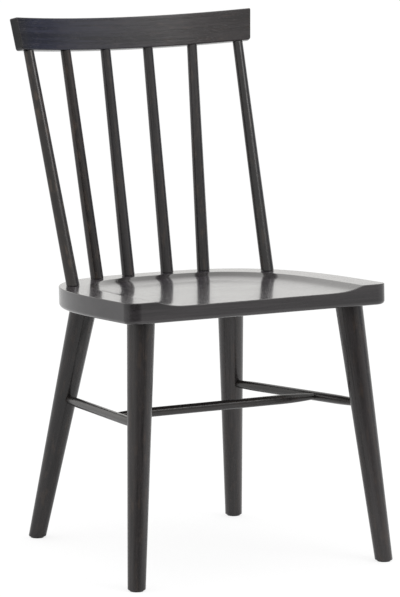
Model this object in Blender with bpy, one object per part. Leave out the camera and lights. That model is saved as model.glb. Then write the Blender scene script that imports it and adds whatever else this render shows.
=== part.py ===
# Dining side chair: a carved seat on four raked legs, with six spindles under a bent crest rail.
# Metres, +Z up. The chair faces -Y and stands on z = 0, with the origin under the middle of its box.

import bmesh
import bpy
from math import cos, pi, radians, sin, tan
from mathutils import Matrix, Vector

# Seat. Its own frame has the origin on the middle of the front top edge, with +Y to the back.
SEAT_HEIGHT = 0.457          # floor to the front top edge
SEAT_WIDTH = 0.474
SEAT_DEPTH = 0.411
SEAT_THICKNESS = 0.034
SEAT_SLOPE = radians(2.6)    # falls to the back
SEAT_SIDE_LENGTH = 0.067     # straight part of each side
SEAT_ROUNDNESS = 3.04        # power of the superellipse that closes the outline at the back
SEAT_CORNER_RADIUS = 0.022
SEAT_TOP_EASING = 0.0015
SEAT_BOTTOM_ROUNDING = 0.0065
LAND_WIDTH = 0.052           # flat border between the edge and the dish
DISH_SLOPE_WIDTH = 0.037
DISH_DEPTH = 0.0093

# Legs, given where they meet the underside and by the angles they lean at.
LEG_TOP_DIAMETER = 0.0434
LEG_FOOT_DIAMETER = 0.0288
LEG_FOOT_EASING = 0.0015
FRONT_LEG_SIDE_INSET = 0.0466
FRONT_LEG_SETBACK = 0.052
FRONT_SPLAY = radians(5.1)
FRONT_RAKE = radians(7.4)
REAR_LEG_INSET = 0.0263
REAR_LEG_BEARING = radians(64.3)
REAR_SPLAY = radians(7.2)
REAR_RAKE = radians(11.1)
LEG_TENON_DIAMETER = 0.025
WOOD_OVER_LEG_TENON = 0.010

# Glides nailed under the feet.
GLIDE_DIAMETER = 0.022
GLIDE_THICKNESS = 0.002
GLIDE_EASING = 0.0006
GLIDE_NAIL_DIAMETER = 0.003
GLIDE_NAIL_POINT_DIAMETER = 0.001
GLIDE_NAIL_LENGTH = 0.014

# Stretchers.
SIDE_STRETCHER_HEIGHT_AT_FRONT = 0.258
SIDE_STRETCHER_HEIGHT_AT_REAR = 0.2415
CROSS_STRETCHER_SETBACK = 0.1215     # behind the front leg, along the side stretcher
STRETCHER_DIAMETER = 0.0156
STRETCHER_TAPER_LENGTH = 0.060
MID_TAPER_SHARE = 0.75       # of the full swelling that is reached halfway along a taper
SIDE_TENON_DIAMETER = 0.0126
SIDE_TENON_LENGTH = 0.020
CROSS_TENON_DIAMETER = 0.0100
CROSS_TENON_LENGTH = 0.0085

# Crest rail, a board bent to an arc and leaning back.
CREST_LENGTH = 0.4434        # along its lower edge
CREST_END_FLARE = 0.0067     # each end is longer by this at the top
CREST_BOARD_HEIGHT = 0.0537
CREST_THICKNESS = 0.017
CREST_BEND_RADIUS = 0.640
CREST_LEAN = radians(14.5)
CREST_RISE = 0.3731          # lower edge above the seat's rear edge
CREST_OVERHANG = 0.0538      # lower edge behind the seat's rear edge
CREST_EDGE_EASING = 0.002
CREST_TOP_CORNER_RADIUS = 0.0025
CREST_BOTTOM_CORNER_RADIUS = 0.004
CREST_END_MARGIN = 0.0212    # from each end to the outer spindle's axis

# Spindles, outer one first, half of them: each bearing is seen from the middle of the rear curve.
SPINDLE_BEARINGS = (radians(52.4), radians(72.1), radians(83.5))
SPINDLE_INSET = 0.0215
SPINDLE_BASE_DIAMETER = 0.0208
SPINDLE_TOP_DIAMETER = 0.0166
SPINDLE_SEAT_TENON_DIAMETER = 0.014
WOOD_UNDER_SPINDLE_TENON = 0.011
SPINDLE_CREST_TENON_DIAMETER = 0.010
SPINDLE_CREST_TENON_LENGTH = 0.025

# Fit of every joint, and the fineness of the round shapes.
JOINT_GAP = 0.0003
SOCKET_END_ROOM = 0.001
TENON_EASING = 0.001
CUTTER_OVERRUN = 0.012
LEG_SIDES = 32
ROD_SIDES = 24
SEAT_CURVE_STEPS = 60
DISH_SLOPE_STEPS = 6
CREST_STEPS = 24
SEAT_CORNER_STEPS = 6
SEAT_ROUNDING_STEPS = 4
CREST_CORNER_STEPS = 4
EASING_STEPS = 2
SMOOTH_ANGLE = radians(35)
SHARP_CORNER = radians(60)

# Stained wood under a satin lacquer, and the black nylon of the glides.
SEAT_COLOUR = (0.040, 0.039, 0.040)
CREST_COLOUR = (0.034, 0.035, 0.038)
SPINDLE_COLOUR = (0.036, 0.035, 0.034)
LEG_COLOUR = (0.033, 0.032, 0.031)
STRETCHER_COLOUR = (0.035, 0.034, 0.034)
GLIDE_COLOUR = (0.012, 0.012, 0.012)
SEAT_ROUGHNESS = 0.28
CREST_ROUGHNESS = 0.36
TURNED_ROUGHNESS = 0.37
NYLON_ROUGHNESS = 0.5

# Frames of the seat and of the crest rail, and the lengths that follow from the sizes above.
SEAT_FRAME = Matrix.Translation((0, 0, SEAT_HEIGHT)) @ Matrix.Rotation(-SEAT_SLOPE, 4, 'X')
SEAT_UP = SEAT_FRAME.to_3x3() @ Vector((0, 0, 1))
SEAT_REAR = SEAT_FRAME @ Vector((0, SEAT_DEPTH, 0))
CREST_ORIGIN = SEAT_REAR + Vector((0, CREST_OVERHANG, CREST_RISE))
CREST_FRAME = Matrix.Translation(CREST_ORIGIN) @ Matrix.Rotation(-CREST_LEAN, 4, 'X')
CREST_UP = CREST_FRAME.to_3x3() @ Vector((0, 0, 1))
LEG_TENON_LENGTH = SEAT_THICKNESS - WOOD_OVER_LEG_TENON
SPINDLE_SEAT_TENON_LENGTH = SEAT_THICKNESS - WOOD_UNDER_SPINDLE_TENON
SPINDLE_GAPS_EACH_SIDE = len(SPINDLE_BEARINGS) - 0.5
SPINDLE_SPACING = (CREST_LENGTH / 2 - CREST_END_MARGIN) / SPINDLE_GAPS_EACH_SIDE


def clear_scene():
    for thing in list(bpy.data.objects):
        bpy.data.objects.remove(thing, do_unlink=True)


def finish(name, colour, roughness):
    material = bpy.data.materials.new(name)
    material.use_nodes = True
    shader = material.node_tree.nodes["Principled BSDF"]
    shader.inputs["Base Color"].default_value = (*colour, 1.0)
    shader.inputs["Roughness"].default_value = roughness
    shader.inputs["Metallic"].default_value = 0.0
    return material


def add_object(name, mesh_builder, matrix, parent, material=None):
    """Turns a bmesh into an object placed by its matrix under the chair's empty."""
    mesh = bpy.data.meshes.new(name)
    bmesh.ops.recalc_face_normals(mesh_builder, faces=mesh_builder.faces)
    mesh_builder.to_mesh(mesh)
    mesh_builder.free()
    thing = bpy.data.objects.new(name, mesh)
    bpy.context.scene.collection.objects.link(thing)
    thing.parent = parent
    thing.location = matrix.to_translation()
    thing.rotation_euler = matrix.to_euler()
    if material:
        mesh.materials.append(material)
        mesh.shade_smooth()
        mesh.set_sharp_from_angle(angle=SMOOTH_ANGLE)
    else:
        thing.hide_render = True
        thing.display_type = 'WIRE'
    return thing


def frame_along(start, end):
    """A frame at start with its Z axis towards end."""
    turn = (end - start).to_track_quat('Z', 'Y').to_matrix().to_4x4()
    return Matrix.Translation(start) @ turn


def ring(mesh_builder, height, radius, sides, plane=None):
    """One ring round the Z axis. With a plane, its points slide along Z until they lie on it."""
    made = bmesh.ops.create_circle(mesh_builder, segments=sides, radius=radius,
                                   matrix=Matrix.Translation((0, 0, height)))
    if plane:
        point, normal = plane
        for vert in made["verts"]:
            flat = Vector((vert.co.x, vert.co.y, 0))
            vert.co.z = (point - flat).dot(normal) / normal.z
    return made["verts"]


def turned(stations, sides):
    """A closed turned shape: rings from bottom to top, joined in turn, with flat ends."""
    mesh_builder = bmesh.new()
    rings = [ring(mesh_builder, height, radius, sides, plane) for height, radius, plane in stations]
    for lower, upper in zip(rings, rings[1:]):
        for side in range(sides):
            after = (side + 1) % sides
            mesh_builder.faces.new((lower[side], lower[after], upper[after], upper[side]))
    for end in (rings[0], rings[-1]):
        mesh_builder.faces.new(end)
    return mesh_builder


def plane_in(matrix, point, normal):
    """A plane of the chair seen in a piece's own frame."""
    inverse = matrix.inverted()
    return inverse @ point, (inverse.to_3x3() @ normal).normalized()


def bore(host, start, direction, diameter, depth, parent):
    """Cuts a round socket into the host, from the surface point start along direction."""
    into = direction.normalized()
    matrix = frame_along(start - into * CUTTER_OVERRUN, start + into * depth)
    length = CUTTER_OVERRUN + depth + SOCKET_END_ROOM
    radius = diameter / 2 + JOINT_GAP
    cutter_shape = turned([(0, radius, None), (length, radius, None)], LEG_SIDES)
    cutter = add_object(host.name + "_socket_cutter", cutter_shape, matrix, parent)
    cut = host.modifiers.new(cutter.name, 'BOOLEAN')
    cut.operation = 'DIFFERENCE'
    cut.solver = 'EXACT'
    cut.object = cutter


def seat_curve(bearing, inset=0.0):
    """A point of the seat's rear outline, or of the line that lies inset inside it."""
    half_width = SEAT_WIDTH / 2 - inset
    half_depth = SEAT_DEPTH - SEAT_SIDE_LENGTH - inset
    across = abs(cos(bearing)) / half_width
    along = sin(bearing) / half_depth
    reach = (across ** SEAT_ROUNDNESS + along ** SEAT_ROUNDNESS) ** (-1 / SEAT_ROUNDNESS)
    return Vector((reach * cos(bearing), SEAT_SIDE_LENGTH + reach * sin(bearing), 0))


def seat_line(inset, height):
    """Right side, rear and left side of the seat at one inset, open at the front edge."""
    side = SEAT_WIDTH / 2 - inset
    bearings = [pi * step / SEAT_CURVE_STEPS for step in range(SEAT_CURVE_STEPS + 1)]
    points = [Vector((side, 0, 0)), *(seat_curve(bearing, inset) for bearing in bearings),
              Vector((-side, 0, 0))]
    return [point + Vector((0, 0, height)) for point in points]


def build_seat(parent, material):
    mesh_builder = bmesh.new()
    levels = [(0.0, 0.0)]
    for step in range(DISH_SLOPE_STEPS + 1):
        share = step / DISH_SLOPE_STEPS
        fall = share * share * (3 - 2 * share)
        levels.append((LAND_WIDTH + DISH_SLOPE_WIDTH * share, -DISH_DEPTH * fall))
    lines = [[mesh_builder.verts.new(point) for point in seat_line(*level)] for level in levels]
    for outer, inner in zip(lines, lines[1:]):
        for step in range(len(outer) - 1):
            mesh_builder.faces.new((outer[step], outer[step + 1], inner[step + 1], inner[step]))
    mesh_builder.faces.new(lines[-1])

    under = [mesh_builder.verts.new(vert.co - Vector((0, 0, SEAT_THICKNESS))) for vert in lines[0]]
    for step in range(len(under) - 1):
        mesh_builder.faces.new((lines[0][step], under[step], under[step + 1], lines[0][step + 1]))
    front_top = [line[-1] for line in lines] + [line[0] for line in reversed(lines)]
    mesh_builder.faces.new([*front_top, under[0], under[-1]])
    mesh_builder.faces.new(under)
    bmesh.ops.recalc_face_normals(mesh_builder, faces=mesh_builder.faces)

    corners = [edge for edge in mesh_builder.edges
               if all(abs(vert.co.y) < JOINT_GAP for vert in edge.verts)
               and abs(edge.verts[0].co.z - edge.verts[1].co.z) > SEAT_THICKNESS / 2]
    bmesh.ops.bevel(mesh_builder, geom=corners, offset=SEAT_CORNER_RADIUS,
                    segments=SEAT_CORNER_STEPS, profile=0.5, affect='EDGES')
    bottom = [edge for edge in mesh_builder.edges
              if all(vert.co.z < JOINT_GAP - SEAT_THICKNESS for vert in edge.verts)]
    bmesh.ops.bevel(mesh_builder, geom=bottom, offset=SEAT_BOTTOM_ROUNDING,
                    segments=SEAT_ROUNDING_STEPS, profile=0.5, affect='EDGES')
    top = [edge for edge in mesh_builder.edges
           if edge.calc_face_angle(0) > SHARP_CORNER]
    bmesh.ops.bevel(mesh_builder, geom=top, offset=SEAT_TOP_EASING, segments=EASING_STEPS,
                    profile=0.5, affect='EDGES')
    return add_object("seat", mesh_builder, SEAT_FRAME, parent, material)


def crest_point(along, up=0.0, back=0.0):
    """A point of the crest rail in its own frame: along its arc, up its face, back from its middle."""
    turn = along / CREST_BEND_RADIUS
    radius = CREST_BEND_RADIUS + back
    return Vector((radius * sin(turn), radius * cos(turn) - CREST_BEND_RADIUS, up))


def build_crest(parent, material):
    mesh_builder = bmesh.new()
    half = CREST_THICKNESS / 2
    section = ((0.0, -half), (0.0, half), (CREST_BOARD_HEIGHT, half), (CREST_BOARD_HEIGHT, -half))
    sections = []
    for step in range(CREST_STEPS + 1):
        place = 2 * step / CREST_STEPS - 1
        verts = []
        for up, back in section:
            reach = CREST_LENGTH / 2 + CREST_END_FLARE * up / CREST_BOARD_HEIGHT
            verts.append(mesh_builder.verts.new(crest_point(place * reach, up, back)))
        sections.append(verts)
    for first, second in zip(sections, sections[1:]):
        for side in range(len(section)):
            after = (side + 1) % len(section)
            mesh_builder.faces.new((first[side], first[after], second[after], second[side]))
    for end in (sections[0], sections[-1]):
        mesh_builder.faces.new(end)
    bmesh.ops.recalc_face_normals(mesh_builder, faces=mesh_builder.faces)

    for up, radius in ((0.0, CREST_BOTTOM_CORNER_RADIUS), (CREST_BOARD_HEIGHT, CREST_TOP_CORNER_RADIUS)):
        corners = [edge for edge in mesh_builder.edges
                   if all(abs(vert.co.z - up) < JOINT_GAP for vert in edge.verts)
                   and abs(edge.calc_length() - CREST_THICKNESS) < JOINT_GAP
                   and edge.calc_face_angle(0) > SHARP_CORNER]
        bmesh.ops.bevel(mesh_builder, geom=corners, offset=radius,
                        segments=CREST_CORNER_STEPS, profile=0.5, affect='EDGES')
    rims = [edge for edge in mesh_builder.edges if edge.calc_face_angle(0) > SHARP_CORNER]
    bmesh.ops.bevel(mesh_builder, geom=rims, offset=CREST_EDGE_EASING, segments=EASING_STEPS,
                    profile=0.5, affect='EDGES')
    return add_object("crest_rail", mesh_builder, CREST_FRAME, parent, material)


def build_leg(name, foot, top, parent, material):
    """A tapered leg with a flat foot, a shoulder under the seat and a round tenon into it."""
    matrix = frame_along(foot, top)
    length = (top - foot).length
    floor_up = Vector((0, 0, 1))
    sole_height = GLIDE_THICKNESS + JOINT_GAP
    sole = plane_in(matrix, Vector((0, 0, sole_height)), floor_up)
    above_sole = plane_in(matrix, Vector((0, 0, sole_height + LEG_FOOT_EASING)), floor_up)
    shoulder = plane_in(matrix, top - SEAT_UP * JOINT_GAP, SEAT_UP)
    foot_radius = LEG_FOOT_DIAMETER / 2
    tenon_radius = LEG_TENON_DIAMETER / 2
    tenon_top = length + LEG_TENON_LENGTH
    stations = [
        (0, foot_radius - LEG_FOOT_EASING, sole),
        (0, foot_radius, above_sole),
        (length, LEG_TOP_DIAMETER / 2, shoulder),
        (length, tenon_radius, shoulder),
        (tenon_top - TENON_EASING, tenon_radius, None),
        (tenon_top, tenon_radius - TENON_EASING, None),
    ]
    return add_object(name, turned(stations, LEG_SIDES), matrix, parent, material)


def build_glide(name, foot, leg, parent, material):
    """A nylon disc with its nail, driven up into the foot."""
    radius = GLIDE_DIAMETER / 2
    nail_radius = GLIDE_NAIL_DIAMETER / 2
    nail_top = GLIDE_THICKNESS + GLIDE_NAIL_LENGTH
    stations = [
        (0, radius - GLIDE_EASING, None),
        (GLIDE_EASING, radius, None),
        (GLIDE_THICKNESS, radius, None),
        (GLIDE_THICKNESS, nail_radius, None),
        (nail_top - nail_radius, nail_radius, None),
        (nail_top, GLIDE_NAIL_POINT_DIAMETER / 2, None),
    ]
    add_object(name, turned(stations, ROD_SIDES), Matrix.Translation(foot), parent, material)
    sole = foot + Vector((0, 0, GLIDE_THICKNESS))
    bore(leg, sole, Vector((0, 0, 1)), GLIDE_NAIL_DIAMETER, GLIDE_NAIL_LENGTH, parent)


def build_spindle(name, base, head, parent, material):
    """A tapered spindle with a shoulder and a tenon at each end."""
    matrix = frame_along(base, head)
    length = (head - base).length
    seat_plane = plane_in(matrix, base + SEAT_UP * JOINT_GAP, SEAT_UP)
    crest_plane = plane_in(matrix, head - CREST_UP * JOINT_GAP, CREST_UP)
    seat_tenon = SPINDLE_SEAT_TENON_DIAMETER / 2
    crest_tenon = SPINDLE_CREST_TENON_DIAMETER / 2
    tenon_top = length + SPINDLE_CREST_TENON_LENGTH
    stations = [
        (-SPINDLE_SEAT_TENON_LENGTH, seat_tenon - TENON_EASING, None),
        (TENON_EASING - SPINDLE_SEAT_TENON_LENGTH, seat_tenon, None),
        (0, seat_tenon, seat_plane),
        (0, SPINDLE_BASE_DIAMETER / 2, seat_plane),
        (length, SPINDLE_TOP_DIAMETER / 2, crest_plane),
        (length, crest_tenon, crest_plane),
        (tenon_top - TENON_EASING, crest_tenon, None),
        (tenon_top, crest_tenon - TENON_EASING, None),
    ]
    return add_object(name, turned(stations, ROD_SIDES), matrix, parent, material)


def build_stretcher(name, start, end, tenon_diameter, tenon_length, parent, material):
    """A round rod that thins towards both ends and runs straight into its bores.

    start and end are the points where its axis enters the two pieces that hold it.
    """
    matrix = frame_along(start, end)
    length = (end - start).length
    body = STRETCHER_DIAMETER / 2
    tenon = tenon_diameter / 2
    half = [
        (-tenon_length, tenon - TENON_EASING),
        (TENON_EASING - tenon_length, tenon),
        (0, tenon),
        (STRETCHER_TAPER_LENGTH / 2, tenon + (body - tenon) * MID_TAPER_SHARE),
        (STRETCHER_TAPER_LENGTH, body),
    ]
    stations = [(height, radius, None) for height, radius in half]
    stations += [(length - height, radius, None) for height, radius in reversed(half)]
    return add_object(name, turned(stations, ROD_SIDES), matrix, parent, material)


def surface_distance(axis_direction, radius, rod_direction):
    """How far a rod that starts on a round piece's axis runs before it leaves the surface."""
    return radius / axis_direction.normalized().cross(rod_direction).length


clear_scene()
chair = bpy.data.objects.new("chair", None)
bpy.context.scene.collection.objects.link(chair)

seat_wood = finish("seat_stained_wood", SEAT_COLOUR, SEAT_ROUGHNESS)
crest_wood = finish("crest_stained_wood", CREST_COLOUR, CREST_ROUGHNESS)
spindle_wood = finish("spindle_stained_wood", SPINDLE_COLOUR, TURNED_ROUGHNESS)
leg_wood = finish("leg_stained_wood", LEG_COLOUR, TURNED_ROUGHNESS)
stretcher_wood = finish("stretcher_stained_wood", STRETCHER_COLOUR, TURNED_ROUGHNESS)
glide_nylon = finish("glide_nylon", GLIDE_COLOUR, NYLON_ROUGHNESS)

seat = build_seat(chair, seat_wood)
crest = build_crest(chair, crest_wood)

# Legs: where each axis meets the underside, and the foot below it.
front_top = Vector((SEAT_WIDTH / 2 - FRONT_LEG_SIDE_INSET, FRONT_LEG_SETBACK, -SEAT_THICKNESS))
rear_top = seat_curve(REAR_LEG_BEARING, REAR_LEG_INSET) - Vector((0, 0, SEAT_THICKNESS))
LEG_PLACES = {
    "front": (SEAT_FRAME @ front_top, FRONT_SPLAY, -FRONT_RAKE, SIDE_STRETCHER_HEIGHT_AT_FRONT),
    "rear": (SEAT_FRAME @ rear_top, REAR_SPLAY, REAR_RAKE, SIDE_STRETCHER_HEIGHT_AT_REAR),
}
SIDES = {"left": -1, "right": 1}
stretcher_ends = {}
legs = {}
for end_name, (top, splay, rake, stretcher_height) in LEG_PLACES.items():
    foot = Vector((top.x + top.z * tan(splay), top.y + top.z * tan(rake), 0))
    for side_name, sign in SIDES.items():
        mirror = Vector((sign, 1, 1))
        leg_foot = foot * mirror
        leg_top = top * mirror
        leg = build_leg(f"leg_{end_name}_{side_name}", leg_foot, leg_top, chair, leg_wood)
        bore(seat, leg_top, leg_top - leg_foot, LEG_TENON_DIAMETER, LEG_TENON_LENGTH, chair)
        axis = leg_top - leg_foot
        sole_middle = leg_foot + axis * (GLIDE_THICKNESS / axis.z)
        build_glide(f"glide_{end_name}_{side_name}", Vector((sole_middle.x, sole_middle.y, 0)),
                    leg, chair, glide_nylon)
        share = stretcher_height / axis.z
        radius = (LEG_FOOT_DIAMETER + (LEG_TOP_DIAMETER - LEG_FOOT_DIAMETER) * share) / 2
        stretcher_ends[end_name, side_name] = (leg_foot + axis * share, axis, radius)
        legs[end_name, side_name] = leg

# Side stretchers, from a front leg to a rear leg.
cross_ends = {}
for side_name in SIDES:
    front, front_axis, front_radius = stretcher_ends["front", side_name]
    rear, rear_axis, rear_radius = stretcher_ends["rear", side_name]
    run = (rear - front).normalized()
    start = front + run * surface_distance(front_axis, front_radius, run)
    end = rear - run * surface_distance(rear_axis, rear_radius, run)
    stretcher = build_stretcher(f"side_stretcher_{side_name}", start, end, SIDE_TENON_DIAMETER,
                                SIDE_TENON_LENGTH, chair, stretcher_wood)
    for end_name, point, into in (("front", start, -run), ("rear", end, run)):
        bore(legs[end_name, side_name], point, into, SIDE_TENON_DIAMETER, SIDE_TENON_LENGTH, chair)
    cross_ends[side_name] = (front + run * CROSS_STRETCHER_SETBACK, run, stretcher)

# Cross stretcher, between the side stretchers.
left, left_axis, left_stretcher = cross_ends["left"]
right, right_axis, right_stretcher = cross_ends["right"]
run = (right - left).normalized()
start = left + run * surface_distance(left_axis, STRETCHER_DIAMETER / 2, run)
end = right - run * surface_distance(right_axis, STRETCHER_DIAMETER / 2, run)
build_stretcher("cross_stretcher", start, end, CROSS_TENON_DIAMETER, CROSS_TENON_LENGTH, chair,
                stretcher_wood)
bore(left_stretcher, start, -run, CROSS_TENON_DIAMETER, CROSS_TENON_LENGTH, chair)
bore(right_stretcher, end, run, CROSS_TENON_DIAMETER, CROSS_TENON_LENGTH, chair)

# Spindles, numbered from -X to +X.
left_half = [(-1, number, bearing) for number, bearing in enumerate(SPINDLE_BEARINGS)]
right_half = [(1, number, bearing) for _, number, bearing in reversed(left_half)]
for place, (sign, number, bearing) in enumerate(left_half + right_half):
    base = SEAT_FRAME @ (seat_curve(bearing, SPINDLE_INSET) * Vector((sign, 1, 1)))
    along = sign * SPINDLE_SPACING * (SPINDLE_GAPS_EACH_SIDE - number)
    head = CREST_FRAME @ crest_point(along)
    build_spindle(f"spindle_{place + 1}", base, head, chair, spindle_wood)
    bore(seat, base, base - head, SPINDLE_SEAT_TENON_DIAMETER, SPINDLE_SEAT_TENON_LENGTH, chair)
    bore(crest, head, head - base, SPINDLE_CREST_TENON_DIAMETER, SPINDLE_CREST_TENON_LENGTH, chair)

# The origin goes under the middle of the chair's box.
bpy.context.view_layer.update()
pieces = [thing for thing in bpy.data.objects if thing.type == 'MESH' and not thing.hide_render]
points = [piece.matrix_world @ vert.co for piece in pieces for vert in piece.data.vertices]
chair.location.y = -(min(point.y for point in points) + max(point.y for point in points)) / 2
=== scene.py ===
# Dining side chair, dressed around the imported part. Metres, +Z up, the chair's front to -Y.

from math import cos, pi, radians, sin, tan

import bmesh
import bpy
from mathutils import Matrix, Vector


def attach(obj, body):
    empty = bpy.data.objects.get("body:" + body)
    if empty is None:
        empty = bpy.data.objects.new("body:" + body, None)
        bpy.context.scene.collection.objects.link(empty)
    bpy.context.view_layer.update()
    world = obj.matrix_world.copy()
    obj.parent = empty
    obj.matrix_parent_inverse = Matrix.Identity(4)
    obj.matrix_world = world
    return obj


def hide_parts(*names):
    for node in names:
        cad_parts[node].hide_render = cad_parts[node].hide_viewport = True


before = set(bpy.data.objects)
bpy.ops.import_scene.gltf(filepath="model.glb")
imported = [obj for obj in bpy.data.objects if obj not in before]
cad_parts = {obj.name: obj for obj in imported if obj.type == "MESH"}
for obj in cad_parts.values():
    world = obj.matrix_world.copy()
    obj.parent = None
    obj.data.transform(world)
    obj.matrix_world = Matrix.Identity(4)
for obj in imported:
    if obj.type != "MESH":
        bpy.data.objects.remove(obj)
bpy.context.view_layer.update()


# Seat. One board of glued-up planks that run from side to side, sawn straight in front and round
# at the back, with a shallow dish carved into it that runs out through the front edge. It is
# stained near-black like the whole chair, its top has the thickest lacquer, and its level top is
# painted paler, a painted light from above.
SEAT_WIDTH, SEAT_DEPTH, SEAT_THICKNESS = 0.474, 0.411, 0.034
SEAT_HEIGHT, SEAT_FRONT, SEAT_TILT = 0.457, -0.23365, radians(2.6)
SEAT_SIDE_LENGTH = 0.067
SEAT_ROUNDNESS, SEAT_CURVE_STEPS = 3.04, 180
SEAT_CORNER_RADIUS, SEAT_TOP_EASING, SEAT_BOTTOM_ROUNDING = 0.022, 0.0015, 0.0065
LAND_WIDTH, DISH_SLOPE_WIDTH, DISH_DEPTH = 0.047, 0.085, 0.0093
DISH_RIM_ROUNDING, DISH_BANK_WIDTH, DISH_FLATTENING = 0.003, 0.014, 3.2
DISH_STEPS, DISH_STEP_GROWTH = 28, 1.6
PLANK_WIDTH, PLANK_SHIFT = 0.098, 1.7
JOINT_GAP = 0.0003
SAME_PLACE, SHARP_EDGE, CREASE = 1e-5, radians(60), radians(40)
BROWN_BLOTCH = (0.070, 0.048, 0.034, 1)
# Paler colour of the arrises: partly wear, partly a painted highlight along the edges.
PALE_EDGE_WEAR_AND_HIGHLIGHT = (0.16, 0.14, 0.125, 1)
FILLED_PORE = (0.010, 0.009, 0.009, 1)
# A seat finish has a coat, and gains coat and roughness where its wood lies level; there its
# colour is also painted paler, a painted light from above.
COAT_WEIGHT, COAT_ROUGHNESS = 0.18, 0.12
LEVEL_FROM, LEVEL_TO = 0.972, 0.997
LEVEL_COAT_GAIN, LEVEL_ROUGHNESS_GAIN = 0.49, 0.13
seat_place = Matrix.Translation((0, SEAT_FRONT, SEAT_HEIGHT)) @ Matrix.Rotation(-SEAT_TILT, 4, 'X')
seat_up = seat_place.to_3x3() @ Vector((0, 0, 1))


class Wire:
    """A value on its way through a finish. Sums with it add Math nodes to the finish."""

    def __init__(self, tree, socket=None):
        self.tree = tree
        self.socket = socket

    def node(self, kind, settings=None, sockets=None, out=0):
        """Adds a node, sets it, fills or links its sockets, and gives the wire that leaves it."""
        made = self.tree.nodes.new(kind)
        for setting, value in (settings or {}).items():
            setattr(made, setting, value)
        for socket, value in (sockets or {}).items():
            if isinstance(value, Wire):
                self.tree.links.new(value.socket, made.inputs[socket])
            else:
                made.inputs[socket].default_value = value
        return Wire(self.tree, made.outputs[out])

    def sum(self, operation, first, second=0.0):
        """Adds one Math node."""
        return self.node("ShaderNodeMath", {"operation": operation}, {0: first, 1: second})

    def __add__(self, other):
        return self.sum('ADD', self, other)

    __radd__ = __add__

    def __sub__(self, other):
        return self.sum('SUBTRACT', self, other)

    def __rsub__(self, other):
        return self.sum('SUBTRACT', other, self)

    def __mul__(self, other):
        return self.sum('MULTIPLY', self, other)

    __rmul__ = __mul__

    def __truediv__(self, other):
        return self.sum('DIVIDE', self, other)

    def split(self):
        """The three parts of a vector."""
        parts = self.node("ShaderNodeSeparateXYZ", None, {0: self}).socket.node
        return [Wire(self.tree, part) for part in parts.outputs]

    def between(self, low, high):
        """Rises smoothly from 0 at low to 1 at high."""
        return self.node("ShaderNodeMapRange", {"interpolation_type": 'SMOOTHSTEP'},
                         {"Value": self, "From Min": low, "From Max": high})

    def blend(self, first, second):
        """Mixes two colours by this value."""
        return self.node("ShaderNodeMix", {"data_type": 'RGBA'},
                         {0: self, 6: first, 7: second}, out=2)

    def tinted(self, tint):
        """Multiplies this colour by another."""
        return self.node("ShaderNodeMix", {"data_type": 'RGBA', "blend_type": 'MULTIPLY'},
                         {0: 1.0, 6: self, 7: tint}, out=2)


def figure(run, stretch, scale, detail, seed):
    """Wood figure: noise drawn out along the grain. Stretch and scale count per metre."""
    along, across, through = run
    spot = along.node("ShaderNodeCombineXYZ", None,
                      {0: along * stretch + seed, 1: across * scale + seed, 2: through * scale})
    return along.node("ShaderNodeTexNoise", None,
                      {"Vector": spot, "Scale": 1.0, "Detail": detail, "Roughness": 0.6})


def stained_wood(name, dark, light, roughness, relief, mottle=0.15, edge_wear_and_highlight_share=0.8, cut=None,
                 tone=None, painted_top_light=None):
    """Near-black stain under a satin lacquer, over the run of grain that the mesh carries."""
    material = bpy.data.materials.new(name)
    material.use_nodes = True
    tree = material.node_tree
    shader = tree.nodes["Principled BSDF"]
    wire = Wire(tree)
    run = wire.node("ShaderNodeAttribute", {"attribute_name": "grain"}, out="Vector").split()
    if cut:
        run = cut(*run)
    # Each layer's stretch and scale, its detail and its seed.
    bands = figure(run, 2.5, 45.0, 2.0, 3.1)
    streaks = figure(run, 11.0, 300.0, 3.0, 7.7)
    fibres = figure(run, 45.0, 1500.0, 2.0, 1.3)
    pores = figure(run, 120.0, 2600.0, 1.0, 5.9).between(0.60, 0.70)
    clouds = figure(run, 9.0, 9.0, 2.0, 9.4)
    blotches = figure(run, 38.0, 130.0, 3.0, 4.6).between(0.50, 0.72)

    depth = 0.42 * bands + 0.40 * streaks + 0.18 * fibres
    colour = depth.between(0.36, 0.64).blend((*dark, 1), (*light, 1))
    colour = (blotches * mottle).blend(colour, BROWN_BLOTCH)
    if tone:
        colour = colour.tinted(tone(run[0]))
    gloss = roughness + 0.10 * (clouds - 0.5) + 0.06 * (streaks - 0.5) + 0.10 * pores
    # Level wood is painted paler, a painted light from above, and also gains coat and roughness.
    if painted_top_light:
        normal = wire.node("ShaderNodeNewGeometry", out="Normal")
        level = normal.split()[2].between(LEVEL_FROM, LEVEL_TO)
        colour = (level * (0.75 + 0.5 * (streaks - 0.5))).blend(colour, (*painted_top_light, 1))
        gloss = gloss + LEVEL_ROUGHNESS_GAIN * level
        coat = COAT_WEIGHT + LEVEL_COAT_GAIN * level
        tree.links.new(coat.socket, shader.inputs["Coat Weight"])
        shader.inputs["Coat Roughness"].default_value = COAT_ROUGHNESS
    # Sharp arrises are painted paler: partly real wear, partly a painted highlight along the
    # edges.
    edge_wear_and_highlight = wire.node("ShaderNodeNewGeometry", out="Pointiness").between(0.52, 0.60)
    colour = (edge_wear_and_highlight * clouds * edge_wear_and_highlight_share).blend(colour, PALE_EDGE_WEAR_AND_HIGHLIGHT)
    colour = (pores * 0.35).blend(colour, FILLED_PORE)
    height = 0.5 * streaks + 0.4 * fibres - 0.5 * pores
    bump = wire.node("ShaderNodeBump", None,
                     {"Strength": relief, "Distance": 0.0002, "Height": height})
    tree.links.new(colour.socket, shader.inputs["Base Color"])
    tree.links.new(gloss.socket, shader.inputs["Roughness"])
    tree.links.new(bump.socket, shader.inputs["Normal"])
    return material


def seat_planks(along, across, through):
    """The planks lie side by side from front to back, and each one's figure is its own."""
    return along + along.sum('FLOOR', across / PLANK_WIDTH) * PLANK_SHIFT, across, through


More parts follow.
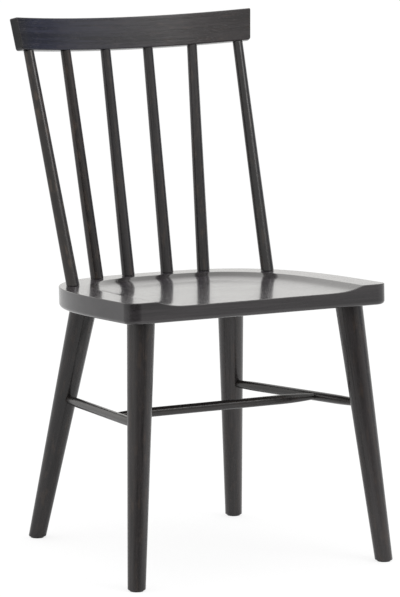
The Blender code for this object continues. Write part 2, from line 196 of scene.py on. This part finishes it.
def seat_curve(bearing, inset=0.0):
    """A point of the seat's rear outline, or of the line that lies inset inside it."""
    across = abs(cos(bearing)) / (SEAT_WIDTH / 2 - inset)
    along = sin(bearing) / (SEAT_DEPTH - SEAT_SIDE_LENGTH - inset)
    reach = (across ** SEAT_ROUNDNESS + along ** SEAT_ROUNDNESS) ** (-1 / SEAT_ROUNDNESS)
    return Vector((reach * cos(bearing), SEAT_SIDE_LENGTH + reach * sin(bearing), 0))


def seat_line(inset, height):
    """Right side, rear and left side of the seat at one inset, open at the front edge."""
    side = SEAT_WIDTH / 2 - inset
    curve = [seat_curve(pi * step / SEAT_CURVE_STEPS, inset)
             for step in range(SEAT_CURVE_STEPS + 1)]
    line = [Vector((side, 0, 0)), *curve, Vector((-side, 0, 0))]
    return [point + Vector((0, 0, height)) for point in line]


def dish_levels():
    """Inset and height of each line down the dish: a rounded rim, a short steep bank, and then
    a long easing to the flat bottom."""
    runs = [DISH_SLOPE_WIDTH * (step / DISH_STEPS) ** DISH_STEP_GROWTH
            for step in range(DISH_STEPS + 1)]
    slopes = []
    for run in runs:
        rim = min(1, run / DISH_RIM_ROUNDING)
        easing = min(1, (DISH_SLOPE_WIDTH - run) / (DISH_SLOPE_WIDTH - DISH_BANK_WIDTH))
        slopes.append(rim * easing ** DISH_FLATTENING)
    drops = [0.0]
    for step in range(DISH_STEPS):
        drops.append(drops[-1] + (slopes[step] + slopes[step + 1]) * (runs[step + 1] - runs[step]))
    return [(LAND_WIDTH + run, -DISH_DEPTH * drop / drops[-1]) for run, drop in zip(runs, drops)]


def all_at(edge, axis, value):
    """Whether both ends of an edge have this value on one axis."""
    return all(abs(vert.co[axis] - value) < SAME_PLACE for vert in edge.verts)


def rounded(shape, edges, radius, segments):
    """Rounds some edges of a shape."""
    bmesh.ops.bevel(shape, geom=edges, offset=radius, segments=segments, profile=0.5,
                    affect='EDGES')


def placed(name, shape, place, grain, finish, node):
    """Makes a piece of a finished shape, puts it in place and lets it stand for its node."""
    mesh = bpy.data.meshes.new(name)
    bmesh.ops.recalc_face_normals(shape, faces=shape.faces)
    shape.to_mesh(mesh)
    shape.free()
    run = mesh.attributes.new("grain", 'FLOAT_VECTOR', 'POINT')
    for vert in mesh.vertices:
        run.data[vert.index].vector = grain(vert.co)
    mesh.transform(place)
    mesh.shade_smooth()
    mesh.set_sharp_from_angle(angle=CREASE)
    mesh.materials.append(finish)
    piece = bpy.data.objects.new(name, mesh)
    bpy.context.scene.collection.objects.link(piece)
    flats = piece.modifiers.new("flat faces stay flat", 'WEIGHTED_NORMAL')
    flats.keep_sharp = True
    flats.weight = 100
    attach(piece, "root")
    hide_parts(node)
    return piece


def board_grain(spot):
    """The grain runs from side to side."""
    return spot


board = bmesh.new()
lines = [[board.verts.new(point) for point in seat_line(*level)]
         for level in [(0, 0), *dish_levels()]]
for outer, inner in zip(lines, lines[1:]):
    for step in range(len(outer) - 1):
        board.faces.new((outer[step], outer[step + 1], inner[step + 1], inner[step]))
board.faces.new(lines[-1])
edge_line = lines[0]
under = [board.verts.new(vert.co - Vector((0, 0, SEAT_THICKNESS))) for vert in edge_line]
for step in range(len(under) - 1):
    board.faces.new((edge_line[step], under[step], under[step + 1], edge_line[step + 1]))
front_line = [line[-1] for line in lines] + [line[0] for line in reversed(lines)]
board.faces.new([*front_line, under[0], under[-1]])
board.faces.new(under)
bmesh.ops.recalc_face_normals(board, faces=board.faces)
rounded(board, [edge for edge in board.edges if all_at(edge, 1, 0)
                and abs(edge.verts[0].co.z - edge.verts[1].co.z) > SEAT_THICKNESS / 2],
        SEAT_CORNER_RADIUS, segments=16)
rounded(board, [edge for edge in board.edges if all_at(edge, 2, -SEAT_THICKNESS)],
        SEAT_BOTTOM_ROUNDING, segments=10)
rounded(board, [edge for edge in board.edges if edge.calc_face_angle(0) > SHARP_EDGE],
        SEAT_TOP_EASING, segments=5)
seat_finish = stained_wood(
    "rubbed black seat", (0.0150, 0.0134, 0.0143), (0.033, 0.0295, 0.0312), roughness=0.11,
    relief=0.30, mottle=0.0, cut=seat_planks, painted_top_light=(0.031, 0.0258, 0.0330))
placed("seat_board", board, seat_place, board_grain, seat_finish, "seat")


# Legs. Four turned legs, thinner towards the floor, that splay outwards and rake forwards and
# backwards. A round tenon on top of each is glued into the seat, with the leg's shoulder cut to
# the seat's underside, and the foot is cut level. The one stain is painted lighter on the
# right-hand legs, lightest at the rear right, and darker at the rear left, as painted light and
# shade.
LEG_TOP_DIAMETER, LEG_FOOT_DIAMETER, LEG_SIDES = 0.0444, 0.0288, 96
LEG_TENON_DIAMETER, LEG_TENON_LENGTH = 0.025, 0.024
LEG_FOOT_EASING, LEG_TOP_EASING, TENON_EASING = 0.0015, 0.0008, 0.001
FRONT_LEG_SIDE_INSET, FRONT_LEG_SETBACK = 0.0466, 0.052
REAR_LEG_BEARING, REAR_LEG_INSET = radians(64.3), 0.0263
LEG_LEANS = {"front": (radians(5.1), radians(-7.4)), "rear": (radians(7.2), radians(11.1))}
GLIDE_THICKNESS = 0.002
SIDES = {"left": -1, "right": 1}
LEG_STAIN = Vector((0.011, 0.0096, 0.0097)), Vector((0.027, 0.0236, 0.0239))
# Painted light level of each leg's stain: above 1 painted lighter, below 1 painted darker, as
# light and shade.
LEG_PAINTED_LIGHT_LEVELS = {("front", "left"): 1.0, ("front", "right"): 1.15,
              ("rear", "left"): 0.75, ("rear", "right"): 1.45}
ROD_SHIFT = 2.7


def frame_along(start, end):
    """A frame at start with its Z axis towards end."""
    turn = (end - start).to_track_quat('Z', 'Y').to_matrix().to_4x4()
    return Matrix.Translation(start) @ turn


def eased(radius, easing, steps=5):
    """Radii and rises of a rounded arris, from the flat end to the full radius."""
    turns = [pi / 2 * step / steps for step in range(steps + 1)]
    return [(radius - easing + easing * sin(turn), easing * (1 - cos(turn))) for turn in turns]


def turned(place, stations, sides):
    """A turned shape. Each station has a radius and, before it, either a height in the shape's
    own frame or a cut, which is a point and a normal of the chair."""
    shape = bmesh.new()
    back = place.inverted()
    rings = []
    for height, radius in stations:
        cut = isinstance(height, tuple)
        ring = bmesh.ops.create_circle(shape, segments=sides, radius=radius)["verts"]
        if cut:
            point, normal = back @ height[0], back.to_3x3() @ height[1]
        for vert in ring:
            vert.co.z = (point - vert.co).dot(normal) / normal.z if cut else height
        rings.append(ring)
    for lower, upper in zip(rings, rings[1:]):
        for side in range(sides):
            after = (side + 1) % sides
            shape.faces.new((lower[side], lower[after], upper[after], upper[side]))
    shape.faces.new(rings[0])
    shape.faces.new(rings[-1])
    return shape


def rod_grain(spot):
    """The grain runs up the rod, and each rod is cut from its own stretch of wood."""
    return spot.z + ROD_SHIFT * len(bpy.data.meshes), spot.x, spot.y


front_top = seat_place @ Vector((SEAT_WIDTH / 2 - FRONT_LEG_SIDE_INSET, FRONT_LEG_SETBACK,
                                 -SEAT_THICKNESS))
rear_top = seat_place @ (seat_curve(REAR_LEG_BEARING, REAR_LEG_INSET)
                         - Vector((0, 0, SEAT_THICKNESS)))
floor_up = Vector((0, 0, 1))
leg_axes = {}
for end, top in (("front", front_top), ("rear", rear_top)):
    splay, rake = LEG_LEANS[end]
    foot = Vector((top.x + top.z * tan(splay), top.y + top.z * tan(rake), 0))
    for side, sign in SIDES.items():
        bottom, head = (Vector((sign * point.x, point.y, point.z)) for point in (foot, top))
        leg_axes[end, side] = bottom, head
        place = frame_along(bottom, head)
        length = (head - bottom).length
        sole = GLIDE_THICKNESS + JOINT_GAP
        foot_cuts = [((Vector((0, 0, sole + rise)), floor_up), radius)
                     for radius, rise in eased(LEG_FOOT_DIAMETER / 2, LEG_FOOT_EASING)]
        top_cuts = [((head - seat_up * (JOINT_GAP + rise), seat_up), radius)
                    for radius, rise in reversed(eased(LEG_TOP_DIAMETER / 2, LEG_TOP_EASING))]
        tenon = LEG_TENON_DIAMETER / 2
        tip = length + LEG_TENON_LENGTH
        leg = turned(place, [*foot_cuts, *top_cuts, ((head - seat_up * JOINT_GAP, seat_up), tenon),
                             (tip - TENON_EASING, tenon), (tip, tenon - TENON_EASING)], LEG_SIDES)
        leg_finish = stained_wood(
            f"black {end} {side} leg", *(stain * LEG_PAINTED_LIGHT_LEVELS[end, side] for stain in LEG_STAIN),
            roughness=0.20, relief=0.35, mottle=0.28)
        placed(f"{end}_{side}_leg", leg, place, rod_grain, leg_finish, f"leg_{end}_{side}")


# Glides. A black nylon disc under each foot, moulded on a nail that is driven up into the leg.
# It is a little narrower than the foot, and scuffed by the floor.
GLIDE_DIAMETER, GLIDE_EASING, GLIDE_SIDES = 0.022, 0.0006, 48
NAIL_DIAMETER, NAIL_POINT_DIAMETER, NAIL_LENGTH = 0.003, 0.001, 0.014
CLEAN_NYLON, SCUFFED_NYLON = (0.010, 0.010, 0.010, 1), (0.028, 0.027, 0.026, 1)


def moulded_nylon(name):
    """Black nylon with the fine grain of its mould, scuffed dull by the floor."""
    material = bpy.data.materials.new(name)
    material.use_nodes = True
    tree = material.node_tree
    shader = tree.nodes["Principled BSDF"]
    wire = Wire(tree)
    place = wire.node("ShaderNodeTexCoord", out="Object")
    grains, scuffs = (
        wire.node("ShaderNodeTexNoise", None, {"Vector": place, "Scale": scale, "Detail": detail})
        for scale, detail in ((2500.0, 2.0), (300.0, 3.0)))
    scuffed = scuffs.between(0.45, 0.65)
    bump = wire.node("ShaderNodeBump", None,
                     {"Strength": 0.3, "Distance": 0.0001, "Height": grains})
    tree.links.new(scuffed.blend(CLEAN_NYLON, SCUFFED_NYLON).socket, shader.inputs["Base Color"])
    tree.links.new((0.42 + 0.25 * scuffed).socket, shader.inputs["Roughness"])
    tree.links.new(bump.socket, shader.inputs["Normal"])
    return material


glide_finish = moulded_nylon("black nylon")
for (end, side), (bottom, head) in leg_axes.items():
    axis = head - bottom
    middle = bottom + axis * (GLIDE_THICKNESS / axis.z)
    place = Matrix.Translation((middle.x, middle.y, 0))
    disc = [(rise, radius) for radius, rise in eased(GLIDE_DIAMETER / 2, GLIDE_EASING)]
    nail = NAIL_DIAMETER / 2
    tip = GLIDE_THICKNESS + NAIL_LENGTH
    glide = turned(place, [*disc, (GLIDE_THICKNESS, GLIDE_DIAMETER / 2), (GLIDE_THICKNESS, nail),
                           (tip - nail, nail), (tip, NAIL_POINT_DIAMETER / 2)], GLIDE_SIDES)
    placed(f"{end}_{side}_foot_glide", glide, place, rod_grain, glide_finish,
           f"glide_{end}_{side}")


# Stretchers. Two round rods, each from a front leg to a rear leg, and a third between them. They
# thin towards their ends, which run straight into bored holes and are glued there.
STRETCHER_DIAMETER, STRETCHER_SIDES = 0.0156, 64
TAPER_LENGTH, TAPER_STEPS = 0.060, 12
SIDE_TENON_DIAMETER, SIDE_TENON_LENGTH = 0.0126, 0.020
CROSS_TENON_DIAMETER, CROSS_TENON_LENGTH = 0.0100, 0.0085
STRETCHER_HEIGHTS = {"front": 0.258, "rear": 0.2415}
CROSS_SETBACK = 0.1215


def way_out(axis, radius, run):
    """How far a rod that starts on a round piece's axis runs before it leaves the surface."""
    return radius / axis.normalized().cross(run).length


def stretcher(name, start, end, tenon_diameter, tenon_length, node):
    """A rod whose two shoulders lie at start and end, with the tenons beyond them."""
    place = frame_along(start, end)
    length = (end - start).length
    tenon, body = tenon_diameter / 2, STRETCHER_DIAMETER / 2
    half = [(-tenon_length, tenon - TENON_EASING), (TENON_EASING - tenon_length, tenon)]
    for step in range(TAPER_STEPS + 1):
        share = step / TAPER_STEPS
        half.append((TAPER_LENGTH * share, tenon + (body - tenon) * share * (2 - share)))
    stations = half + [(length - height, radius) for height, radius in reversed(half)]
    placed(name, turned(place, stations, STRETCHER_SIDES), place, rod_grain, stretcher_finish,
           node)


stretcher_finish = stained_wood("black stretcher", (0.007, 0.0060, 0.0061),
                                (0.020, 0.0173, 0.0174), roughness=0.22, relief=0.30)
cross_ends = {}
for side in SIDES:
    points, ways = {}, {}
    for end, height in STRETCHER_HEIGHTS.items():
        bottom, head = leg_axes[end, side]
        share = height / head.z
        points[end] = bottom + (head - bottom) * share
        ways[end] = head - bottom, (LEG_FOOT_DIAMETER
                                    + (LEG_TOP_DIAMETER - LEG_FOOT_DIAMETER) * share) / 2
    run = (points["rear"] - points["front"]).normalized()
    start, finish = (points[end] + run * sign * way_out(*ways[end], run)
                     for end, sign in (("front", 1), ("rear", -1)))
    stretcher(f"{side}_side_rod", start, finish, SIDE_TENON_DIAMETER, SIDE_TENON_LENGTH,
              f"side_stretcher_{side}")
    cross_ends[side] = points["front"] + run * CROSS_SETBACK, run
left, left_run = cross_ends["left"]
right, right_run = cross_ends["right"]
run = (right - left).normalized()
stretcher("cross_rod", left + run * way_out(left_run, STRETCHER_DIAMETER / 2, run),
          right - run * way_out(right_run, STRETCHER_DIAMETER / 2, run),
          CROSS_TENON_DIAMETER, CROSS_TENON_LENGTH, "cross_stretcher")


# Crest rail. One board bent to an arc, which leans back and is a little longer at its top. It is
# glued down on the spindles' tenons. Its arrises are sanded round, and its colour is bluer at the
# left end and paler and warmer to the right.
CREST_LENGTH, CREST_END_FLARE = 0.4434, 0.0067
CREST_BOARD_HEIGHT, CREST_THICKNESS = 0.0537, 0.017
CREST_BEND_RADIUS, CREST_LEAN = 0.640, radians(14.5)
CREST_RISE, CREST_OVERHANG = 0.3731, 0.0538
CREST_EDGE_EASING, CREST_TOP_CORNER, CREST_BOTTOM_CORNER = 0.002, 0.0025, 0.004
CREST_STEPS = 96
DULL_TONE, WARM_TONE = (0.96, 0.96, 1.05, 1), (1.33, 1.19, 1.23, 1)
BLUE_TONE = (0.98, 1.07, 1.72, 1)
crest_middle = seat_place @ Vector((0, SEAT_DEPTH, 0)) + Vector((0, CREST_OVERHANG, CREST_RISE))
crest_place = Matrix.Translation(crest_middle) @ Matrix.Rotation(-CREST_LEAN, 4, 'X')
crest_up = crest_place.to_3x3() @ Vector((0, 0, 1))


def crest_point(along, up=0.0, back=0.0):
    """A point of the crest rail: along its arc, up its face, and back from its middle."""
    turn = along / CREST_BEND_RADIUS
    radius = CREST_BEND_RADIUS + back
    return Vector((radius * sin(turn), radius * cos(turn) - CREST_BEND_RADIUS, up))


def bent_grain(spot):
    """The grain follows the bend: along the arc, up the face and through the board."""
    out = Vector((spot.x, spot.y + CREST_BEND_RADIUS))
    return Vector((0, 1)).angle_signed(out) * CREST_BEND_RADIUS, spot.z, out.length


def crest_tone(along):
    """The colour's tone along the rail, by the distance from its middle."""
    plain = along.between(-0.205, 0.18).blend(DULL_TONE, WARM_TONE)
    blue = along.between(-0.222, -0.190) * (1 - along.between(-0.16, 0.12))
    return blue.blend(plain, BLUE_TONE)


bent = bmesh.new()
half = CREST_THICKNESS / 2
section = ((0.0, -half), (0.0, half), (CREST_BOARD_HEIGHT, half), (CREST_BOARD_HEIGHT, -half))
rows = []
for step in range(CREST_STEPS + 1):
    share = 2 * step / CREST_STEPS - 1
    rows.append([bent.verts.new(crest_point(
        share * (CREST_LENGTH / 2 + CREST_END_FLARE * up / CREST_BOARD_HEIGHT), up, back))
        for up, back in section])
for first, second in zip(rows, rows[1:]):
    for side in range(len(section)):
        after = (side + 1) % len(section)
        bent.faces.new((first[side], first[after], second[after], second[side]))
for end_row in (rows[0], rows[-1]):
    bent.faces.new(end_row).material_index = 1
bmesh.ops.recalc_face_normals(bent, faces=bent.faces)
for up, radius in ((0.0, CREST_BOTTOM_CORNER), (CREST_BOARD_HEIGHT, CREST_TOP_CORNER)):
    rounded(bent, [edge for edge in bent.edges if all_at(edge, 2, up)
                   and abs(edge.calc_length() - CREST_THICKNESS) < JOINT_GAP
                   and edge.calc_face_angle(0) > SHARP_EDGE], radius, segments=8)
rounded(bent, [edge for edge in bent.edges if edge.calc_face_angle(0) > SHARP_EDGE],
        CREST_EDGE_EASING, segments=6)
crest_finish = stained_wood("black crest rail", (0.008, 0.0075, 0.0078), (0.024, 0.0225, 0.0232),
                            roughness=0.16, relief=0.40, edge_wear_and_highlight_share=0.25, tone=crest_tone)
end_finish = stained_wood("black end grain", (0.004, 0.0041, 0.0052), (0.011, 0.0112, 0.0135),
                          roughness=0.62, relief=0.50, edge_wear_and_highlight_share=0.0)
crest = placed("crest_board", bent, crest_place, bent_grain, crest_finish, "crest_rail")
crest.data.materials.append(end_finish)


# Spindles. Six turned rods, thinner towards the top. Each has a tenon in the seat and a thinner
# one in the crest rail's lower edge, both glued, with its shoulders cut to these two surfaces.
# The two on the left are stained browner, and the outer ones are painted darkest, a painted shade.
SPINDLE_BEARINGS = (radians(52.4), radians(72.1), radians(83.5))
SPINDLE_INSET = 0.0215
SPINDLE_BASE_DIAMETER, SPINDLE_TOP_DIAMETER, SPINDLE_SIDES = 0.0215, 0.0170, 64
SHOULDER_EASING = 0.0008
SPINDLE_SEAT_TENON_DIAMETER, SPINDLE_SEAT_TENON_LENGTH = 0.014, 0.023
SPINDLE_CREST_TENON_DIAMETER, SPINDLE_CREST_TENON_LENGTH = 0.010, 0.025
CREST_END_MARGIN = 0.0212
SPACINGS_TO_OUTERMOST = 2.5
EVEN_STAIN = Vector((0.010, 0.0091, 0.0098)), Vector((0.029, 0.0264, 0.0278))
BROWN_STAIN = Vector((0.010, 0.0079, 0.0078)), Vector((0.033, 0.0255, 0.0240))
# Stain, painted shade and mottle of each spindle, from the left.
SPINDLE_STAINS_AND_PAINTED_SHADES = ((BROWN_STAIN, 0.52, 0.60), (BROWN_STAIN, 0.95, 0.50), (EVEN_STAIN, 1.0, 0.30),
                  (EVEN_STAIN, 1.08, 0.30), (EVEN_STAIN, 0.92, 0.35), (EVEN_STAIN, 0.52, 0.30))
spindle_spacing = (CREST_LENGTH / 2 - CREST_END_MARGIN) / SPACINGS_TO_OUTERMOST
left_half = list(enumerate(SPINDLE_BEARINGS))
spindle_row = [(-1, *spindle) for spindle in left_half]
spindle_row += [(1, *spindle) for spindle in reversed(left_half)]
for number, (sign, inwards, bearing) in enumerate(spindle_row, 1):
    spot = seat_curve(bearing, SPINDLE_INSET)
    base = seat_place @ Vector((sign * spot.x, spot.y, 0))
    head = crest_place @ crest_point(sign * spindle_spacing * (SPACINGS_TO_OUTERMOST - inwards))
    place = frame_along(base, head)
    foot_cuts = [((base + seat_up * (JOINT_GAP + rise), seat_up), radius)
                 for radius, rise in eased(SPINDLE_BASE_DIAMETER / 2, SHOULDER_EASING)]
    head_cuts = [((head - crest_up * (JOINT_GAP + rise), crest_up), radius)
                 for radius, rise in reversed(eased(SPINDLE_TOP_DIAMETER / 2, SHOULDER_EASING))]
    low, high = SPINDLE_SEAT_TENON_DIAMETER / 2, SPINDLE_CREST_TENON_DIAMETER / 2
    tip = (head - base).length + SPINDLE_CREST_TENON_LENGTH
    spindle = turned(place, [(-SPINDLE_SEAT_TENON_LENGTH, low - TENON_EASING),
                             (TENON_EASING - SPINDLE_SEAT_TENON_LENGTH, low),
                             ((base + seat_up * JOINT_GAP, seat_up), low), *foot_cuts, *head_cuts,
                             ((head - crest_up * JOINT_GAP, crest_up), high),
                             (tip - TENON_EASING, high), (tip, high - TENON_EASING)],
                     SPINDLE_SIDES)
    stains, painted_shade, mottle = SPINDLE_STAINS_AND_PAINTED_SHADES[number - 1]
    spindle_finish = stained_wood(f"black spindle {number}", *(stain * painted_shade for stain in stains),
                                  roughness=0.18, relief=0.35, mottle=mottle)
    placed(f"spindle_rod_{number}", spindle, place, rod_grain, spindle_finish, f"spindle_{number}")


# Studio. A white surround, with a soft box to the front right and a larger one overhead. What the
# lacquer mirrors is the room: white too, but dim low down on the side from which the chair is
# looked at, and dim and bluish beside the right-hand soft box.
DIM_SIDE = Vector((-0.286, -0.958, 0.0))
GAP_SIDE = Vector((0.913, -0.361, 0.191))
ROOM_WHITE, ROOM_GAP = (1.0, 0.993, 0.97, 1), (0.28, 0.31, 0.40, 1)
LIT_POINT = Vector((0, 0, 0.5))


def grey(level):
    """A grey of this level."""
    return level, level, level, 1


def towards(direction, side):
    """Runs from 1 where a direction points to that side to -1 where it points away from it."""
    return direction.node("ShaderNodeVectorMath", {"operation": 'DOT_PRODUCT'},
                          {0: direction, 1: side}, out="Value")


def ray_kinds(wire):
    """Two wires: 1 for what the camera sees itself, and 1 for what is mirrored or seen through."""
    rays = wire.node("ShaderNodeLightPath").socket.node.outputs
    shown, glossy, through = (
        Wire(wire.tree, rays[kind])
        for kind in ("Is Camera Ray", "Is Glossy Ray", "Is Transmission Ray"))
    return shown, wire.sum('MAXIMUM', glossy, through)


world = bpy.data.worlds.new("white surround")
bpy.context.scene.world = world
world.use_nodes = True
wire = Wire(world.node_tree)
heading = wire.node("ShaderNodeTexCoord", out="Generated")
low_down = 1 - heading.split()[2].between(0.06, 0.36)
dimness = towards(heading, DIM_SIDE).between(0.36, 1.0) * low_down
room = dimness.blend(ROOM_WHITE, grey(0.1))
room = towards(heading, GAP_SIDE).between(0.93, 0.99).blend(room, ROOM_GAP)
shown, mirrored = ray_kinds(wire)
surround = world.node_tree.nodes["Background"]
world.node_tree.links.new(mirrored.blend(grey(1.0), room).socket, surround.inputs["Color"])

for name, place, size, brightness in (("front right soft box", (1.3, -2.5, 3.12), 1.7, 3.4),
                                      ("overhead soft box", (-0.3, 0.2, 3.2), 2.4, 1.2)):
    lamp = bpy.data.lights.new(name, 'AREA')
    lamp.shape = 'SQUARE'
    lamp.size = size
    lamp.energy = brightness * pi * size ** 2
    box = bpy.data.objects.new(name, lamp)
    box.location = place
    box.rotation_euler = (LIT_POINT - box.location).to_track_quat('-Z', 'Y').to_euler()
    bpy.context.scene.collection.objects.link(box)


# Floor. A white sheet that runs out to the horizon and takes the chair's soft shadow. In the
# lacquer it is dimmer towards the side from which the chair is looked at, a metre or two out, and
# brighter to the right.
VIEW_SIDE = Vector((-0.479, -0.878, 0.0))
RIGHT_SIDE = Vector((0.878, -0.479, 0.0))
FLOOR_REACH = 60


def white_floor(lit_part, glowing_part):
    """A white floor that shows shadows as strongly as its lit part."""
    lit = wire.node("ShaderNodeBsdfDiffuse", None, {"Color": lit_part})
    glow = wire.node("ShaderNodeEmission", None, {"Color": glowing_part})
    return wire.node("ShaderNodeAddShader", None, {0: lit, 1: glow})


ground = bmesh.new()
bmesh.ops.create_grid(ground, x_segments=1, y_segments=1, size=FLOOR_REACH)
sheet = bpy.data.meshes.new("floor")
ground.to_mesh(sheet)
ground.free()
white = bpy.data.materials.new("white floor")
white.use_nodes = True
white.node_tree.nodes.remove(white.node_tree.nodes["Principled BSDF"])
wire = Wire(white.node_tree)
shown, mirrored = ray_kinds(wire)
spot = wire.node("ShaderNodeNewGeometry", out="Position")
away = wire.node("ShaderNodeVectorMath", {"operation": 'LENGTH'}, {0: spot}, out="Value")
onward = wire.node("ShaderNodeVectorMath", {"operation": 'NORMALIZE'}, {0: spot})
dimness = away.between(1.0, 2.2) * towards(onward, VIEW_SIDE).between(0.36, 1.0)
on_right = towards(onward, RIGHT_SIDE).between(-0.6, 0.6)
paint = wire.node("ShaderNodeBsdfDiffuse", None, {"Color": grey(0.75)})
sheet_shown = white_floor(grey(0.22), grey(0.79))
sheet_mirrored = white_floor(
    dimness.blend(on_right.blend(grey(0.47), grey(0.57)), grey(0.06)),
    dimness.blend(on_right.blend(grey(0.30), grey(0.36)), grey(0.04)))
both = wire.node("ShaderNodeMixShader", None, {0: shown, 1: paint, 2: sheet_shown})
both = wire.node("ShaderNodeMixShader", None, {0: mirrored, 1: both, 2: sheet_mirrored})
surface = white.node_tree.nodes["Material Output"].inputs["Surface"]
white.node_tree.links.new(both.socket, surface)
sheet.materials.append(white)
floor = bpy.data.objects.new("floor", sheet)
bpy.context.scene.collection.objects.link(floor)


# Camera. It stands where the photograph's stood: 6 m off, round to the chair's left and 1.3 m
# above the floor, with a long lens.
CAMERA_DIP, CAMERA_TURN = 0.1495, 0.4988
bpy.context.scene.view_settings.view_transform = 'Standard'
lens = bpy.data.cameras.new("camera")
lens.lens = 226.0
lens.sensor_width = 36.0
lens.shift_x = 0.0010
lens.shift_y = -0.0006
lens.clip_end = 200.0
camera = bpy.data.objects.new("camera", lens)
camera.location = (-2.9021, -5.3536, 1.3360)
camera.rotation_euler = (pi / 2 - CAMERA_DIP, 0, -CAMERA_TURN)
bpy.context.scene.collection.objects.link(camera)
bpy.context.scene.camera = camera
